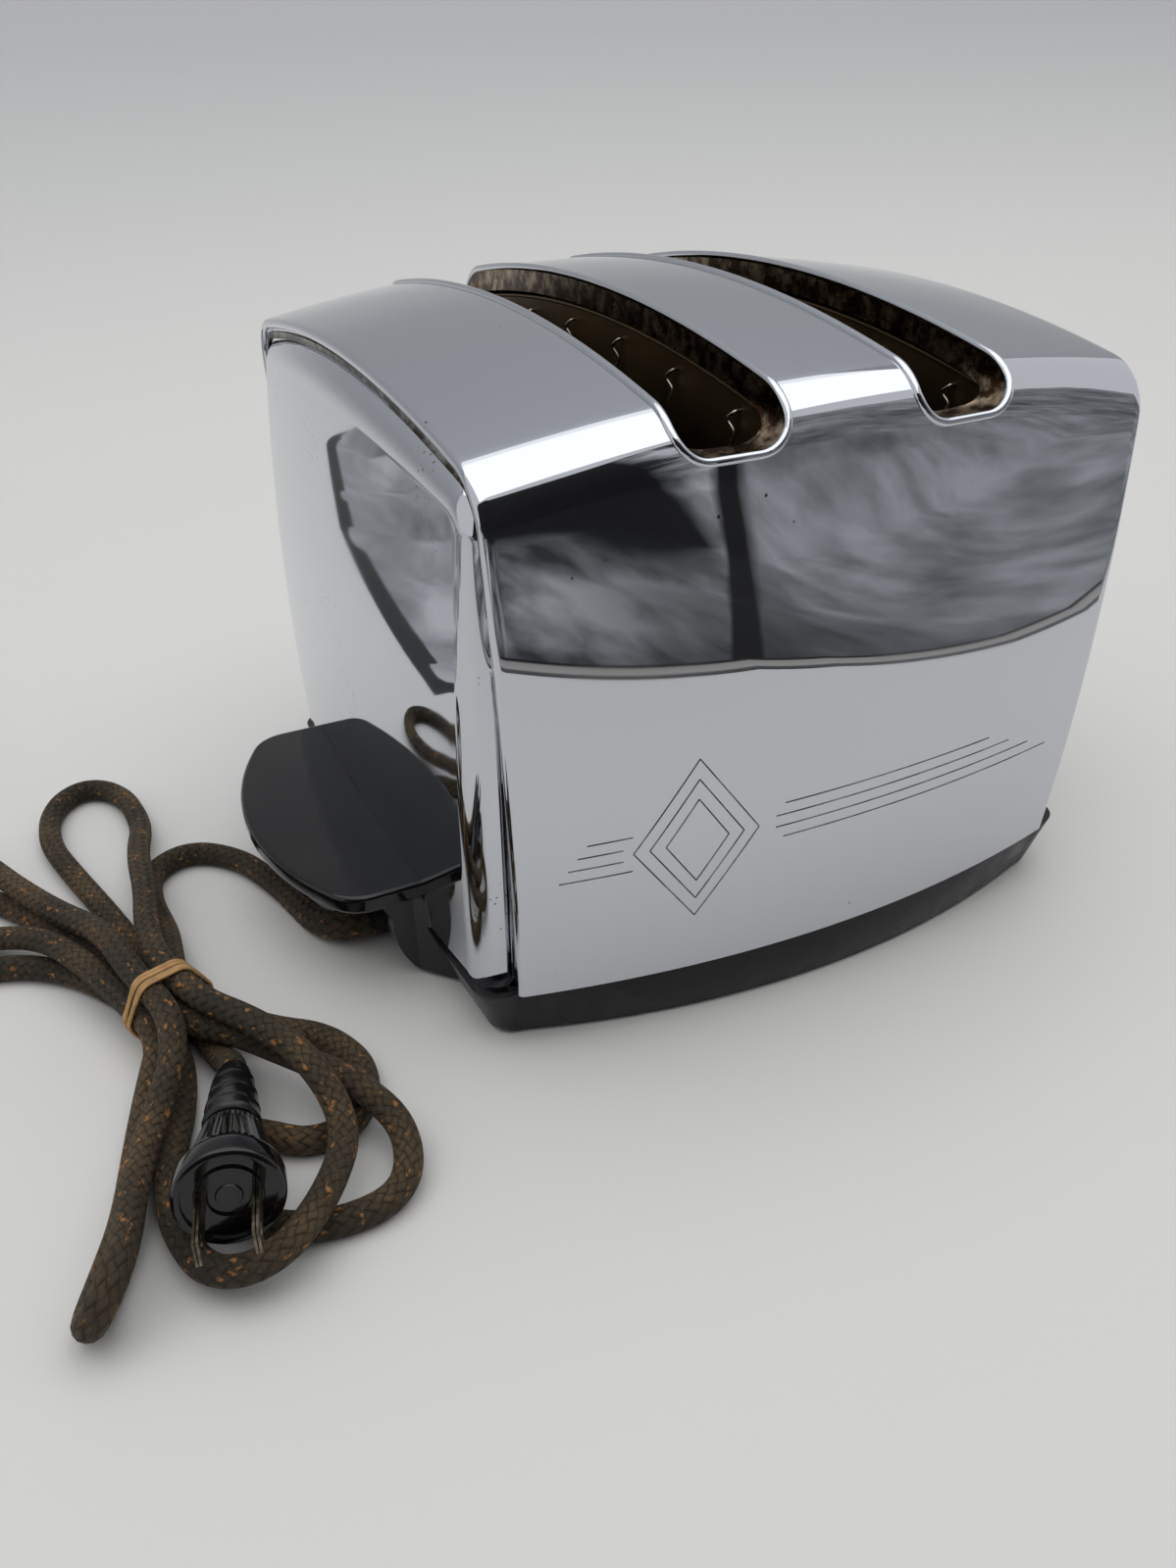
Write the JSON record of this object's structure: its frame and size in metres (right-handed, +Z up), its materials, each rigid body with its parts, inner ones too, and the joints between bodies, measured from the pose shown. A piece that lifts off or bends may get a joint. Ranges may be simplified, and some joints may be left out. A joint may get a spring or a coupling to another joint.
{
  "type": "pop-up toaster",
  "caption": "Vintage two-slot chrome toaster with black base and end handles, a braided lead gathered by a band, and its plug.",
  "frame": {"origin": "middle of the footprint on the standing surface", "axes": "+X along the length towards the lever end, -X the cord end, -Y the engraved front, +Z up"},
  "size_m": [0.4189, 0.2657, 0.1844],
  "materials": {
    "chrome": "mirror, lightly pitted and stained at the slots",
    "chrome_panel": "mirror with fine pitting at the edges",
    "black_phenolic": "glossy black moulding",
    "black_base": "satin black moulding",
    "plated_steel": "plain zinc plated sheet",
    "heat_brown": "steel sheet tinted bronze brown by heat",
    "mica": "pressed mica sheet",
    "element": "flat heating ribbon",
    "ceramic_block": "unglazed",
    "screw_steel": "plain",
    "black_rubber": "dull",
    "tan_rubber": "soft tan band",
    "cord_braid": "brown and olive braid with tan flecks",
    "tape": "black cloth tape",
    "brass": "tarnished",
    "spring_steel": "drawn wire"
  },
  "bodies": {
    "housing": {"body_shell": "chrome", "end_panel_left": "chrome_panel", "end_panel_right": "chrome_panel", "base": "black_base", "handle_left": "black_phenolic", "handle_right": "black_phenolic", "handle_screws": "screw_steel", "base_screws": "screw_steel", "strain_relief": "black_rubber", "bottom_plate": "plated_steel", "tray_hinge_pin": "spring_steel", "rubber_feet": "black_rubber", "chassis_left": "plated_steel", "chassis_right": "plated_steel", "shield_front": "plated_steel", "shield_back": "plated_steel", "center_baffle": "plated_steel", "guard_left_inner": "heat_brown", "guard_left_outer": "heat_brown", "guard_right_inner": "heat_brown", "guard_right_outer": "heat_brown", "guide_wires_left_inner": "heat_brown", "guide_wires_left_outer": "heat_brown", "guide_wires_right_inner": "heat_brown", "guide_wires_right_outer": "heat_brown", "heater_card_left_inner": "mica", "heater_card_left_outer": "mica", "heater_card_right_inner": "mica", "heater_card_right_outer": "mica", "heater_ribbon_left_inner": "element", "heater_ribbon_left_outer": "element", "heater_ribbon_right_inner": "element", "heater_ribbon_right_outer": "element", "guide_rod": "spring_steel", "rod_bracket": "plated_steel", "lift_spring": "spring_steel", "latch_pin": "spring_steel", "bimetal_bracket": "plated_steel", "bimetal_strip": "brass", "browning_post": "spring_steel", "contact_switch": "ceramic_block", "switch_contacts": "brass", "terminal_block": "ceramic_block", "terminal_screws": "brass", "inner_leads": "cord_braid", "power_cord": "cord_braid", "rubber_band": "tan_rubber", "plug_tape": "tape", "plug_body": "black_rubber", "plug_blades": "brass"},
    "lift": {"lift_carriage": "plated_steel", "bread_rack_left": "heat_brown", "bread_rack_right": "heat_brown", "lift_lever": "plated_steel", "lift_knob": "black_phenolic"},
    "latch_arm": {"latch": "plated_steel"},
    "browning": {"browning_lever": "plated_steel", "browning_knob": "black_phenolic"},
    "tray": {"crumb_tray": "plated_steel"}
  },
  "joints": [
    {"name": "lift_slide", "type": "slide", "parent": "housing", "child": "lift", "axis": [0, 0, -1], "range_m": [0, 0.06], "stiffness_N_per_m": 60, "springref_m": -0.05, "deforming": ["lift_spring"]},
    {"name": "latch_hinge", "type": "hinge", "parent": "housing", "child": "latch_arm", "pos_m": [0.074, -0.041, 0.024], "axis": [-1, 0, 0], "range_deg": [0, 10]},
    {"name": "browning_hinge", "type": "hinge", "parent": "housing", "child": "browning", "pos_m": [0.084, 0, 0.046], "axis": [0, 0, 1], "range_deg": [-20, 20]},
    {"name": "tray_hinge", "type": "hinge", "parent": "housing", "child": "tray", "pos_m": [0, 0.061, 0.003], "axis": [1, 0, 0], "range_deg": [0, 90]}
  ]
}
